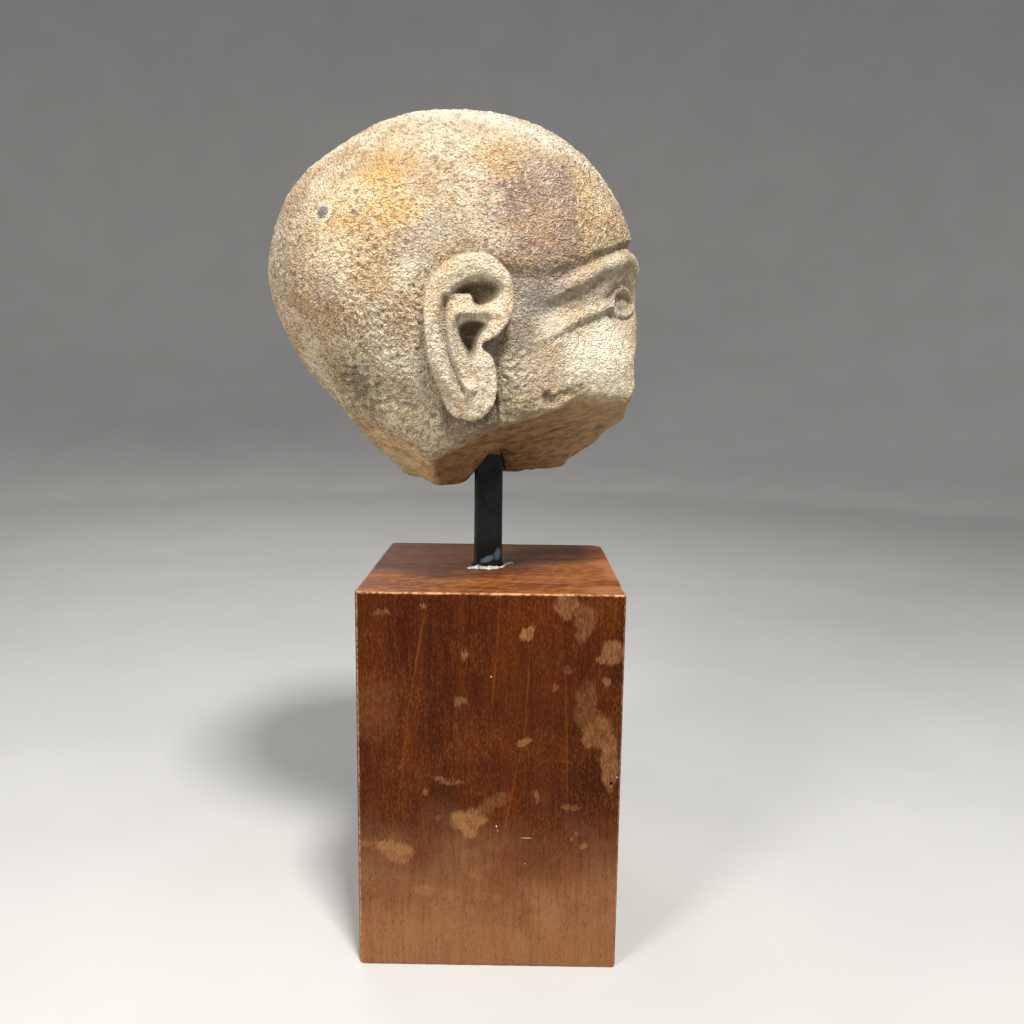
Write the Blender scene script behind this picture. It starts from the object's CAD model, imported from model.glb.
"""Looks of the ancient Egyptian stone head, its steel post and its wooden block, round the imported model.

Metres, +Z up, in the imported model's frame. The face looks towards +X, and the head's right ear is at -Y.
The head's form is in millimetres from the head's centre. Its profile, bands and breaks have the solid's
numbers, and its ear has thinner edges, a rounder lobe and finer hollows.
"""

import math

import bmesh
import bpy
import numpy as np
from mathutils import Matrix, Vector, noise


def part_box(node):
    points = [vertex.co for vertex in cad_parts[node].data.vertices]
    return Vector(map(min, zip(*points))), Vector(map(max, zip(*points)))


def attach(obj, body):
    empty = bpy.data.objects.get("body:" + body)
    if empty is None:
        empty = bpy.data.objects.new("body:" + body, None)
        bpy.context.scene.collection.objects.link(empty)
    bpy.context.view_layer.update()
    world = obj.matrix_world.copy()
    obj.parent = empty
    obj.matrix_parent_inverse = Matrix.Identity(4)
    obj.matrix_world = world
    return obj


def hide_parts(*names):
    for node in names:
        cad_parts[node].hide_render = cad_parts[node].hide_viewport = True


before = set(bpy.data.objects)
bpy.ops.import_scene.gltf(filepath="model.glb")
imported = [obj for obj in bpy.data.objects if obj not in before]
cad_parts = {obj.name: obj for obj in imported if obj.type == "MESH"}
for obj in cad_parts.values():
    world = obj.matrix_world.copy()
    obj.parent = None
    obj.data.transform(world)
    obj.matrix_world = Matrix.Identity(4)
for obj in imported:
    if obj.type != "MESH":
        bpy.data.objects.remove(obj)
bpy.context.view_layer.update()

MM = 0.001

# Block and post, from the solid. Wear has rounded the block's upright edges unequally
BLOCK_LOW, BLOCK_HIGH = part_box("wooden_base")
POST_LOW, POST_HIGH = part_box("mount_post")
BLOCK_TOP = BLOCK_HIGH.z
BLOCK_FRONT = BLOCK_LOW.y
CLEARANCE = 0.3 * MM
CUTTER_OVERRUN = 10 * MM
UPRIGHT_RADII = {(-1, -1): 3.0, (1, -1): 1.6, (1, 1): 6.0, (-1, 1): 4.0}
BLOCK_EDGE_RADIUS = 0.8
BLOCK_EDGE_WEAR = 0.5
WEAR_LENGTHS = (6, 1.7)
WEAR_OFFSET = 40
WORN_ROUND_EDGE = (0.1, 0.7)
WORN_ROUND_CORNER = (0.55, 1)
TINY = 1e-9
BARELY = 1e-6
BLOCK_CELLS = (36, 36, 52)
POST_CORNER_RADIUS = 1.4
POST_EDGE_RADIUS = 0.4
POST_CELLS = (6, 6, 24)
EDGE_INSETS = (0, 0.12, 0.3, 0.55, 0.85, 1.2, 1.7, 2.3, 3.1, 4.1, 5.2, 6.4)
POST_EDGE_INSETS = (0, 0.12, 0.3, 0.5, 0.75, 1.05, 1.45, 2)
NAIL_HOLE = (47.3, 77.5)
NAIL_HOLE_RADIUS = 0.6
NAIL_HOLE_DEPTH = 3

# The head's centre, in millimetres from where the post's axis leaves the block
HEAD_FROM_POST = (-13.5, 0, 110)
POST_FOOT = Vector(((POST_LOW.x + POST_HIGH.x) / 2, (POST_LOW.y + POST_HIGH.y) / 2, BLOCK_TOP))
HEAD_PLACE = POST_FOOT + Vector(HEAD_FROM_POST) * MM

# Camera of the photograph
CAMERA_PLACE = (0.0093, -0.3716, 0.2301)
CAMERA_YAW = math.radians(-0.27)
CAMERA_PITCH = math.radians(8.4)
CAMERA_ROLL = math.radians(0.73)
FOCAL_PIXELS = 881.5
PHOTO_PIXELS = 1024
SENSOR_WIDTH = 36

# The head's main form
HALF_WIDTH = 58.5
HEAD_TILT = math.radians(16)
SKULL_PROFILE = (
    (0, 73.5), (30, 74.5), (70, 72.5), (104, 73), (138, 77), (162, 73.5), (188, 65.5), (212, 64),
    (245, 82), (285, 95), (316, 92), (338, 76), (360, 73.5),
)
SECTION_FULLNESS = 2.2
PATH_STEPS = 6

# Face map: outward from the face's middle line round the head, and up from the head's centre.
# A carved line: how far it stands out, how dark it is, its half widths at its two ends, and its points
FACE_MAP_RADIUS = 72
EYE_LINE = -21
EYE_WIDTH = 2 * HALF_WIDTH / 5
EYE_OUT = EYE_WIDTH
UPPER_LID_RISE = 6
LOWER_LID_DROP = 4.4
EYEBALL_SWELL = 2.4
LID_HALF_WIDTH = 2
LID_RISE = 1.8
SOCKET_DEPTH = 5
SOCKET_SIZE = (21, 13)
BROW_BAND = (2.4, 0, (6.5, 5), ((6, -9), (14, -5), (26, -3.5), (42, -6), (58, -10), (84, -16)))
COSMETIC_LINE = (1.8, 0, (3.6, 4.6), ((33, -20.5), (46, -22), (62, -24), (96, -27)))
BAND_FADE = 0.3
NOSE_RISE = 16
NOSE_ROOT = -8
NOSE_BASE = -50
NOSE_HALF_WIDTH = (8, 17)
FACE_NARROWING = (7, (50, -34), (46, 52))
CHEEK = (2, (44, -42), (26, 16))
TEMPLE = (2.6, (72, -18), (16, 13))
CAP_EDGE = ((0, 4), (19, 2.5), (36, 0.5), (53, -2), (66, -3), (78, -1.5), (88, 3), (100, 16))
CAP_RISE = 2
CAP_STEP_WIDTH = 2.2
CAP_STEP_WIDENING = 3.6
CAP_BEHIND_FACE = (84, 94)
CAP_GROOVE_DEPTH = 0.6
CAP_GROOVE_BELOW = 1.8
CAP_GROOVE_HALF_WIDTH = 3
CAP_RIM_ABOVE = 1.5
CAP_RIM_HALF_WIDTH = 7

# Where the cap's step softens, where its groove starts and fades, and where both end before the ear
CAP_STEP_SOFTENS = (30, 62)
GROOVE_STARTS = (18, 40)
GROOVE_FADES = (-58, -30)
BEFORE_EAR = (-88, -78)

# Shades of the face, from 0 to 1
EYE_DARKNESS = 0.35
GROOVE_DARKNESS = (0.15, 0.55)
RIM_DARKNESS = 0.25
GREY_TEMPLE = ((76, -14), (22, 16))
TEMPLE_GREYNESS = 0.85
FACE_GREYNESS = 0.35
PATCH_WAVES = ((17, 13, 11), 12)

# Ear map: forward and up from the ear's middle
EAR_PLACE = (7.6, -15.4)
EAR_OUTLINE = (
    (5.2, 26.8), (14.2, 19.6), (15.2, 8), (10.6, 0.5), (5.0, -3.5), (8.6, -8), (10.0, -18),
    (7.4, -26), (0.3, -29.4), (-6.8, -26.2), (-10.4, -17.5), (-13.6, -8), (-15.2, 7), (-13.2, 17.4),
    (-6.2, 24.4),
)
EAR_RISE = 5.6
EAR_WALL = 2
HELIX_PATH = (
    (8.6, -0.5), (12.4, 8), (11.4, 16.6), (4.6, 22.4), (-4.6, 21.2), (-11, 13.5), (-12.2, 2),
    (-9.6, -10), (-4.6, -19),
)
HELIX = (0.9, 0, (5, 3.6), HELIX_PATH)
EAR_BOWL = (
    (-1.5, 17.2), (5, 18.6), (10.4, 15.2), (10, 10.2), (8.2, 5), (4.4, -2), (2.4, -8), (1, -15.5),
    (-4.2, -12), (-8, -1), (-8.6, 9.5),
)
EAR_BOWL_DEPTH = 1.8
UPPER_HOLLOW = (
    (-4.4, 14.0), (-1.4, 16.4), (3, 17.4), (8.2, 17.2), (10.8, 15.2), (9.6, 12.4), (6.9, 10.2),
    (4.3, 9.1), (1.8, 10.2), (0.9, 12.9), (-1.6, 13.2),
)
UPPER_HOLLOW_DEPTH = 5
CONCHA = (
    (-2.9, 2.4), (1.2, 4.4), (6.2, 3.2), (4.2, -1.2), (2.6, -6), (1.1, -8.8), (-0.9, -6.2),
    (-2.9, -1.6),
)
CONCHA_DEPTH = 6
SCAPHA = (-1.3, 0.4, (1.9, 1.5), ((-7.6, 12), (-8.3, 8), (-8.2, 1), (-6.9, -6), (-4.4, -13), (-1.8, -18)))
ANTIHELIX = (1.8, 0, (2.6, 2.2), ((8.5, 7.4), (2, 7.6), (-4.8, 6.4), (-5.6, -2.5), (-2.8, -10.5), (1, -17)))
UNDER_LOBE = (-2, 0, (5, 4), ((-3, -31), (4, -31.5), (9.5, -26)))
EAR_MOAT = 5
EAR_MOAT_DEPTH = 1
# Smooth recess below the lobe, with an upright step at its front
LOBE_RECESS = ((11.2, -20), (11.8, -38), (4, -46), (-8, -42), (-11, -31), (-10, -24), (-2, -27), (8, -22))
LOBE_RECESS_DEPTH = 1.4
RECESS_EDGE = (1.2, 4)
RECESS_SOFTENS = (-8, 4)

# How far inside an outline the ear's hollows and their shades start and are full
BOWL_EDGE = (-1, 1)
BOWL_SHADE_EDGE = (-0.5, 1.5)
HOLLOW_EDGE = (-0.7, 1.6)
HOLLOW_SHADE_EDGE = (-0.4, 0.8)
NEAR_EAR = (-2.5, -0.5)
SEAM_HALF_WIDTH = 2

# Shades of the ear, from 0 to 1
BOWL_DARKNESS = 0.12
SEAM_DARKNESS = 0.3
HOLLOW_DARKNESS = 0.8
RECESS_DARKNESS = 0.34

# Breaks: outward direction in level axes, distance from the head's centre, and how ragged.
# Uneven surfaces are given by the wave lengths along x, y and z, and a seed
NAPE_BREAK = ((-0.57, -0.32, -0.76), 65.2, 0.1)
BREAKS = (
    NAPE_BREAK,
    ((0.34, -0.39, -0.855), 67.6, 0.5),
    ((0.035, 0.175, -0.985), 72.7, 0.5),
    ((0.62, -0.065, -0.78), 80.6, 0.7),
    ((0.995, 0.0, -0.09), 73.5, 0.6),
)
BREAK_EDGE = 2
BREAK_WAVE = 0.6
BREAK_WAVES = ((26, 18, 9), 4)
BREAK_RAGGED_WAVES = ((7, 5, 4), 11)
SKIN_WAVE = 0.3
SKIN_WAVES = ((46, 40, 34), 9)
WAVE_COUNT = 9
GLANCING = 0.1
UNDER_PALER = (25, 64)
UNDER_PALENESS = 0.8
NAPE_PALE_WITHIN = (0.3, 1.2)
BREAK_RIM_WAVE = 0.8
BREAK_RIM_WAVES = ((5, 4, 3), 31)
BROKEN_FROM = (0.4, 3.2)
FRINGE_START = (-2.5, -0.5)
FRINGE_END = (0.5, 9)
CHIPS = (
    ((-0.55, -0.64, -0.54), 13, 2), ((50, -41.5, -38.5), 9, 1.8), ((13.5, -3, -63), 13, 9.5),
    ((14.5, -18, -63), 12, 9),
)

# Smaller scars, from the head's centre: points along each, half width, depth, and how dark
SCARS = (
    (((-22.5, -49.6, -39), (-17.5, -51.2, -41.2), (-12.5, -52.8, -42)), 1.7, 0.9, 0.45),
    (((-24, -50, -36), (-16, -53, -38)), 4, 0.7, 0.1),
    (((36.8, -48.9, -38.2), (38, -48.4, -38.8)), 3.6, 1.5, 0.55),
    (((42.5, -47.5, -36.5), (47, -45, -36)), 2.4, 0.9, 0.35),
    (((36.5, -25.2, -52.9), (41, -25.7, -51.1), (47.5, -24.7, -49.5)), 1.5, 1.4, 0.8),
    (((26.4, -23.1, -57.8), (36, -18, -57.5), (44, -12, -55.5)), 2.6, 1, 0.45),
    (((22, -16, -61.1), (19, -8, -63)), 3.4, 2.6, 0.8), (((23.5, -56, -19), (28, -55, -15)), 8, 0.5, 0.5),
    (((61, -12, -51), (59.7, -2.5, -54.1), (58, 8, -55)), 3.2, 1.8, 0.2),
)
SCAR_WAVES = ((4, 3, 2), 21)
SCAR_UNEVENNESS = 0.45
SCAR_FLOOR = 0.3

# Grain of the mesh, which is finest on the shown side. Rows of pecks circle an axis through the cap's back
BALL_STEPS = 127
SHOWN_SIDE = (0.05, -0.30, 0)
ROW_AXIS = (-0.414, -0.849, 0.328)
ROW_CIRCLE = 45
ROW_START = (14, 28)
ROW_END = (58, 80)
PECK_SIZE = (1.2, 0.95)
MESH_PECK_SHARE = 0.85
PLAIN_PECK_SHARE = 0.85
PECK_DEPTH = 0.85
PECK_SHARPNESS = 1.6
DENT_SIZE = 6
DENT_DEPTH = 0.5
SMOOTH_DENTS = 0.35
FACE_COARSENESS = 0.62
CAP_COARSENESS = 1.15
BREAK_COARSENESS = 0.34
RECESS_SMOOTHNESS = 0.85
EAR_SMOOTHNESS = 0.45
CHIP_ROUGHNESS = ((-33, -39.5, -36), 20)
CHIP_DARKNESS = 0.72
CHIP_DARK_EDGE = (0.1, 1.1)
CHIP_DARK_UNEVENNESS = 0.35
CHIP_COARSENESS = 0.6
CHIP_UNEVENNESS = 0.7
CHIP_ROUGH_DEPTH = 0.7
CHIP_WAVES = ((6, 4, 3), 17)
WEATHERED = ((-36, -50, -4), 44)
WEATHERED_COARSENESS = 0.3
BEDDING_TILT = math.radians(-11)
BEDDING_SIZE = (6, 6, 1.2)
BEDDING_DEPTH = 0.35
BEDDING_SHARPNESS = 2
INWARD = 0.12


def ramp(value, start, end):
    """0 before start and 1 after end, with a smooth rise between."""
    share = np.clip((value - start) / (end - start), 0, 1)
    return share * share * (3 - 2 * share)


def ridge(distance, half_width):
    """1 on a line, falling smoothly to 0 at half_width from it."""
    return 0.5 + 0.5 * np.cos(np.pi * np.clip(distance / half_width, 0, 1))


def between(start, end, share):
    """The value that lies a share of the way from start to end."""
    return start + (end - start) * share


def as_share(noise, sharpness=1):
    """Noise between about -1 and 1 as a share from 0 to 1."""
    return 0.5 + 0.5 * np.clip(sharpness * noise, -1, 1)


def near(places, centre, radius):
    """1 at a centre, falling smoothly to 0 at a radius from it."""
    return ridge(np.linalg.norm(places - centre, axis=1), radius)


def oval(across, height, place, size):
    """1 in the middle of an oval, falling smoothly to 0 at its rim."""
    return ridge(np.hypot((across - place[0]) / size[0], (height - place[1]) / size[1]), 1)


def smooth_min(first, second, blend):
    share = np.clip(0.5 + 0.5 * (second - first) / blend, 0, 1)
    return second + (first - second) * share - blend * share * (1 - share)


def smooth_path(points, closed=False):
    """The given points joined by a Catmull-Rom curve."""
    given = np.array(points, float)
    if closed:
        ring = np.vstack((given[-1], given, given[:2]))
    else:
        ring = np.vstack((2 * given[0] - given[1], given, 2 * given[-1] - given[-2]))
    share = (np.arange(PATH_STEPS) / PATH_STEPS)[:, None]
    spans = []
    for before, start, end, after in zip(ring, ring[1:], ring[2:], ring[3:]):
        bend = 2 * before - 5 * start + 4 * end - after
        turn = 3 * start - before - 3 * end + after
        spans.append(start + 0.5 * (share * (end - before) + share**2 * bend + share**3 * turn))
    spans.append(ring[-2][None])
    return np.vstack(spans)


def path_distance(places, path):
    """Distance to the nearest place on a path, and how far along the path that is, from 0 to 1."""
    nearest = np.full(len(places), np.inf)
    along = np.zeros(len(places))
    spans = len(path) - 1
    for i, (start, end) in enumerate(zip(path, path[1:])):
        run = end - start
        share = np.clip((places - start) @ run / run.dot(run), 0, 1)
        distance = np.linalg.norm(places - start - share[:, None] * run, axis=1)
        closer = distance < nearest
        nearest[closer] = distance[closer]
        along[closer] = ((i + share) / spans)[closer]
    return nearest, along


def depth_inside(places, outline):
    """How far inside a smoothed outline each point is; outside it is negative."""
    path = smooth_path(outline, closed=True)
    nearest, _ = path_distance(places, path)
    across, height = places.T
    inside = np.zeros(len(places), bool)
    for start, end in zip(path, path[1:]):
        if start[1] == end[1]:
            continue
        spans_height = (start[1] > height) != (end[1] > height)
        crossing = start[0] + (height - start[1]) / (end[1] - start[1]) * (end[0] - start[0])
        inside ^= spans_height & (across < crossing)
    return np.where(inside, nearest, -nearest)


def stroke(places, points, half_widths, fade=0):
    """1 along a carved line whose half width changes evenly from its start to its end, and 0 off it."""
    distance, along = path_distance(places, smooth_path(points))
    carved = ridge(distance, between(*half_widths, along))
    if fade:
        carved *= ramp(1 - along, 0, fade)
    return carved


def waves(places, wave_lengths, seed):
    """An uneven surface between about -1 and 1, from a few crossing waves."""
    random = np.random.default_rng(seed)
    total = np.zeros(len(places))
    for _ in range(WAVE_COUNT):
        turn = random.normal(size=3)
        turn *= 2 * np.pi / np.linalg.norm(turn) / np.array(wave_lengths)
        total += np.sin(places @ turn + random.uniform(0, 2 * np.pi))
    return total / math.sqrt(WAVE_COUNT)


def grain(places):
    """Fine noise between about -1 and 1, with marks about one unit wide."""
    return np.array([noise.noise(place) for place in places.tolist()])


def unit(vectors):
    """Vectors, or one vector, made one long."""
    vectors = np.array(vectors, float)
    return vectors / np.linalg.norm(vectors, axis=-1, keepdims=True)


def tilted(places, angle):
    """Places along axes that are tilted by an angle, from x towards z."""
    forward = places[:, 0] * math.cos(angle) + places[:, 2] * math.sin(angle)
    upward = places[:, 2] * math.cos(angle) - places[:, 0] * math.sin(angle)
    return np.column_stack((forward, places[:, 1], upward))


def skull_radius(own):
    """The egg of the skull: its profile from the side, closed by a fuller ellipse across."""
    angles = np.degrees(np.arctan2(own[:, 2], own[:, 0])) % 360
    profile = smooth_path(SKULL_PROFILE)
    profile_radius = np.interp(angles, profile[:, 0], profile[:, 1])
    side_on = np.hypot(own[:, 0], own[:, 2]) / profile_radius
    across = np.abs(own[:, 1]) / HALF_WIDTH
    return (side_on**SECTION_FULLNESS + across**SECTION_FULLNESS) ** (-1 / SECTION_FULLNESS)


def eye_relief(across, height):
    """The almond of the eye with its lids, in its hollow."""
    share = (across - EYE_OUT) / (EYE_WIDTH / 2)
    opening = np.clip(1 - share**2, 0, 1)
    upper = EYE_LINE + UPPER_LID_RISE * opening
    lower = EYE_LINE - LOWER_LID_DROP * opening
    beyond_corner = np.clip(np.abs(share) - 1, 0, None) * EYE_WIDTH / 2
    lids = np.maximum(
        ridge(np.hypot(height - upper, beyond_corner), LID_HALF_WIDTH),
        ridge(np.hypot(height - lower, beyond_corner), LID_HALF_WIDTH),
    )
    swell = oval(across, height, (EYE_OUT, EYE_LINE), (EYE_WIDTH / 2, UPPER_LID_RISE))
    hollow = oval(across, height, (EYE_OUT, EYE_LINE), SOCKET_SIZE)
    return EYEBALL_SWELL * swell + LID_RISE * lids - SOCKET_DEPTH * hollow, hollow * (1 - lids)


def face_form(own, radius):
    """The cap's edge and the face: how far each point stands out, and its marks."""
    across = np.arctan2(np.abs(own[:, 1]), own[:, 0]) * FACE_MAP_RADIUS
    height = own[:, 2] * radius
    flat = np.column_stack((across, height))
    edge = smooth_path(CAP_EDGE)
    above = height - np.interp(across, edge[:, 0], edge[:, 1])
    softness = CAP_STEP_WIDTH + CAP_STEP_WIDENING * ramp(across, *CAP_STEP_SOFTENS)
    cap = np.maximum(ramp(above / softness, -0.5, 0.5), ramp(across, *CAP_BEHIND_FACE))
    relief, eye_dark = eye_relief(across, height)
    relief += CAP_RISE * cap
    down = ramp(-height, -NOSE_ROOT, -NOSE_BASE)
    relief += NOSE_RISE * down * ridge(across, between(*NOSE_HALF_WIDTH, down))
    for rise, _, half_widths, points in (BROW_BAND, COSMETIC_LINE):
        relief += rise * stroke(flat, points, half_widths, BAND_FADE)
    for sign, (amount, place, size) in ((1, CHEEK), (-1, FACE_NARROWING), (-1, TEMPLE)):
        relief += sign * amount * oval(across, height, place, size)
    before_ear = ramp(-across, *BEFORE_EAR)
    rim = ridge(np.abs(above - CAP_RIM_ABOVE), CAP_RIM_HALF_WIDTH) * before_ear
    groove = ridge(np.abs(above + CAP_GROOVE_BELOW), CAP_GROOVE_HALF_WIDTH) * before_ear
    groove *= ramp(-across, *GROOVE_FADES)
    relief -= CAP_GROOVE_DEPTH * groove
    patchy = as_share(waves(own * radius[:, None], *PATCH_WAVES))
    groove_dark = between(*GROOVE_DARKNESS, patchy) * groove * ramp(across, *GROOVE_STARTS)
    marks = {
        "dark": np.maximum.reduce((EYE_DARKNESS * eye_dark, groove_dark, RIM_DARKNESS * patchy * rim)),
        "coarse": between(FACE_COARSENESS, CAP_COARSENESS, cap),
        "grey": np.maximum(TEMPLE_GREYNESS * oval(across, height, *GREY_TEMPLE), FACE_GREYNESS * (1 - cap)),
        "yellow": rim,
    }
    return relief, marks


def ear_form(directions, radius):
    """Both ears, mapped straight onto the head's sides: how far each point stands out, and its marks."""
    mapped = (radius + EAR_RISE / 2)[:, None]
    flat = directions[:, [0, 2]] * mapped - np.array(EAR_PLACE)
    edge = depth_inside(flat, EAR_OUTLINE)
    bowl = depth_inside(flat, EAR_BOWL)
    plate = ramp(edge, -EAR_WALL / 2, EAR_WALL / 2)
    from_wall = np.where(edge < 0, np.abs(edge + EAR_WALL), np.inf)
    relief = EAR_RISE * plate - EAR_MOAT_DEPTH * ridge(from_wall, EAR_MOAT)
    relief -= EAR_BOWL_DEPTH * ramp(bowl, *BOWL_EDGE)
    shades = [BOWL_DARKNESS * ramp(bowl, *BOWL_SHADE_EDGE), SEAM_DARKNESS * ridge(from_wall, SEAM_HALF_WIDTH)]
    for rise, darkness, half_widths, points in (HELIX, ANTIHELIX, UNDER_LOBE, SCAPHA):
        line = stroke(flat, points, half_widths)
        relief += rise * line
        shades.append(darkness * line)
    for outline, depth in ((UPPER_HOLLOW, UPPER_HOLLOW_DEPTH), (CONCHA, CONCHA_DEPTH)):
        inside = depth_inside(flat, outline)
        relief -= depth * ramp(inside, *HOLLOW_EDGE)
        shades.append(HOLLOW_DARKNESS * ramp(inside, *HOLLOW_SHADE_EDGE))
    softness = between(*RECESS_EDGE, ramp(-flat[:, 0], *RECESS_SOFTENS))
    recess = ramp(depth_inside(flat, LOBE_RECESS) / softness, 0, 1) * (1 - plate)
    relief -= LOBE_RECESS_DEPTH * recess
    dark = np.maximum.reduce([*shades, RECESS_DARKNESS * recess])
    return relief, {"dark": dark, "plate": plate, "recess": recess, "near_ear": ramp(edge, *NEAR_EAR)}


def broken_radius(directions, whole):
    """The radius left inside the uneven break planes, how pale it is, and how far the skin is from them."""
    sphere = directions * whole.mean()
    unevenness = BREAK_WAVE * waves(sphere, *BREAK_WAVES)
    ragged = as_share(waves(sphere, *BREAK_RAGGED_WAVES))
    radius = whole
    clearance = np.full(len(whole), np.inf)
    for outward, distance, raggedness in BREAKS:
        facing = np.maximum(directions @ unit(outward), GLANCING)
        plane = (distance + unevenness - raggedness * ragged) / facing
        radius = smooth_min(radius, plane, BREAK_EDGE)
        clearance = np.minimum(clearance, plane - whole)
    outward, distance, _ = NAPE_BREAK
    behind = distance + unevenness - radius * (directions @ unit(outward))
    under_pale = UNDER_PALENESS * ramp(directions[:, 0] * radius, *UNDER_PALER)
    return radius, np.maximum(1 - ramp(behind, *NAPE_PALE_WITHIN), under_pale), clearance


def chip_depth(directions, radius):
    """How much the chips take off the radius."""
    total = np.zeros(len(radius))
    for outward, chip_radius, depth in CHIPS:
        away = np.linalg.norm(directions - unit(outward), axis=1) * radius
        total += depth * ridge(away, chip_radius)
    return total


def row_places(places):
    """Places on circles round the row axis, in peck marks, and 1 where the marks lie in rows."""
    axis = unit(ROW_AXIS)
    first = unit(np.cross(axis, (0, 0, 1)))
    second = np.cross(axis, first)
    far = np.linalg.norm(places, axis=1)
    away = far * np.arccos(np.clip(places @ axis / far, -1, 1))
    turn = np.arctan2(places @ second, places @ first)
    length, width = PECK_SIZE
    circle = ROW_CIRCLE / length
    rows = np.column_stack((circle * np.cos(turn), circle * np.sin(turn), away / width))
    return rows, ramp(away, *ROW_START) * (1 - ramp(away, *ROW_END))


def scar_form(places):
    """The smaller scars: how deep each point lies in them, and how dark it is."""
    depth, dark = np.zeros(len(places)), np.zeros(len(places))
    uneven = np.clip(waves(places, *SCAR_WAVES), -1, 1)
    for points, half_width, scar_depth, darkness in SCARS:
        distance, _ = path_distance(places, np.array(points, float))
        rim = half_width * (1 + SCAR_UNEVENNESS * uneven)
        scar = ramp(-distance, -rim, -SCAR_FLOOR * half_width)
        depth = np.maximum(depth, scar_depth * scar)
        dark = np.maximum(dark, darkness * scar)
    return depth, dark


def grain_form(places, coarse, broken, may_have_rows):
    """How deep the grain takes each point, its place in the rows of pecks, and 1 where the rows lie."""
    rows, in_rows = row_places(places)
    in_rows *= may_have_rows
    peck = in_rows * grain(rows * MESH_PECK_SHARE)
    peck += (1 - in_rows) * grain(places * MESH_PECK_SHARE / PECK_SIZE[1] * PLAIN_PECK_SHARE)
    depth = coarse * PECK_DEPTH * (1 - as_share(peck, PECK_SHARPNESS))
    depth += between(SMOOTH_DENTS, 1, coarse) * DENT_DEPTH * (1 - as_share(grain(places / DENT_SIZE)))
    beds = grain(tilted(places, -BEDDING_TILT) / BEDDING_SIZE)
    depth += broken * BEDDING_DEPTH * (1 - as_share(beds, BEDDING_SHARPNESS))
    return depth, rows, in_rows


def head_form(directions):
    """The head's radius in every direction, with its grain, and the marks that its material reads."""
    own = tilted(directions, HEAD_TILT)
    skull = skull_radius(own)
    skull_places = directions * skull[:, None]
    face, face_marks = face_form(own, skull)
    ear, ear_marks = ear_form(directions, skull)
    whole = skull + face + ear + SKIN_WAVE * waves(skull_places, *SKIN_WAVES)
    radius, pale, clearance = broken_radius(directions, whole)
    ragged = BREAK_RIM_WAVE * waves(skull_places, *BREAK_RIM_WAVES)
    broken = ramp(whole - radius + ragged, *BROKEN_FROM)
    skin = 1 - broken
    fringe = ramp(clearance + ragged, *FRINGE_START) * (1 - ramp(clearance + 2 * ragged, *FRINGE_END))
    radius -= chip_depth(directions, radius)
    places = directions * radius[:, None]
    chipped = near(places, *CHIP_ROUGHNESS)
    worn = CHIP_COARSENESS * chipped + WEATHERED_COARSENESS * near(places, *WEATHERED)
    coarse = face_marks["coarse"] * (1 - RECESS_SMOOTHNESS * ear_marks["recess"])
    coarse *= 1 - EAR_SMOOTHNESS * ear_marks["plate"]
    coarse = between(coarse, BREAK_COARSENESS, broken) + worn * skin
    depth, rows, in_rows = grain_form(places, coarse, broken, (1 - ear_marks["near_ear"]) * skin)
    scar_depth, scar_dark = scar_form(places)
    rough = waves(places, *CHIP_WAVES)
    chip_dark = CHIP_DARKNESS * ramp(chipped + CHIP_DARK_UNEVENNESS * rough, *CHIP_DARK_EDGE)
    depth += scar_depth + CHIP_ROUGH_DEPTH * np.clip(chipped * (1 + CHIP_UNEVENNESS * rough), 0, 1)
    dark = np.maximum.reduce((face_marks["dark"], ear_marks["dark"], chip_dark)) * skin
    marks = {
        "coarse": coarse,
        "broken": broken,
        "pale": pale,
        "dark": np.maximum(dark, scar_dark),
        "in_rows": in_rows,
        "recess": ear_marks["recess"] * skin,
        "grey": face_marks["grey"] * skin,
        "yellow": np.maximum(face_marks["yellow"] * skin, fringe * (1 - ear_marks["recess"])),
    }
    return radius - depth - INWARD, marks, rows


def join_points(points, quads):
    """Points that lie together made one."""
    _, kept, joined = np.unique(np.round(points, 5), axis=0, return_index=True, return_inverse=True)
    return points[kept], joined.reshape(-1)[quads]


def quad_ball(steps):
    """A ball of quads, from a cube whose grid lines are spread evenly by angle."""
    line = np.tan(np.linspace(-math.pi / 4, math.pi / 4, steps + 1))
    points, quads = box_grid([line] * 3)
    return unit(points), quads


def new_object(name, data):
    thing = bpy.data.objects.new(name, data)
    bpy.context.scene.collection.objects.link(thing)
    return thing


def mesh_object(name, points, faces, material):
    mesh = bpy.data.meshes.new(name)
    mesh.from_pydata(points, [], faces)
    mesh.shade_smooth()
    mesh.materials.append(material)
    return new_object(name, mesh)


def ring_quads(count, sides, first=0):
    """Quads that join a number of rings of points, each ring to the next, from the first point's number."""
    rings = first + np.arange(count * sides).reshape(count, sides)
    beside = np.roll(rings, -1, axis=1)
    return np.stack((rings[:-1], beside[:-1], beside[1:], rings[1:]), -1).reshape(-1, 4).tolist()


def add_attribute(mesh, name, kind, values):
    attribute = mesh.attributes.new(name, kind, "POINT")
    field = "vector" if kind == "FLOAT_VECTOR" else "value"
    attribute.data.foreach_set(field, np.ascontiguousarray(values, np.float32).ravel())


def cut_away(thing, shape):
    """Takes a bmesh shape out of a mesh object, for good."""
    mesh = bpy.data.meshes.new("cutter")
    shape.to_mesh(mesh)
    shape.free()
    cutter = new_object("cutter", mesh)
    boolean = thing.modifiers.new("cut", "BOOLEAN")
    boolean.operation = "DIFFERENCE"
    boolean.solver = "EXACT"
    boolean.object = cutter
    bpy.context.view_layer.update()
    made = bpy.data.meshes.new_from_object(thing.evaluated_get(bpy.context.evaluated_depsgraph_get()))
    thing.modifiers.clear()
    thing.data = made
    bpy.data.objects.remove(cutter)


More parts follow.
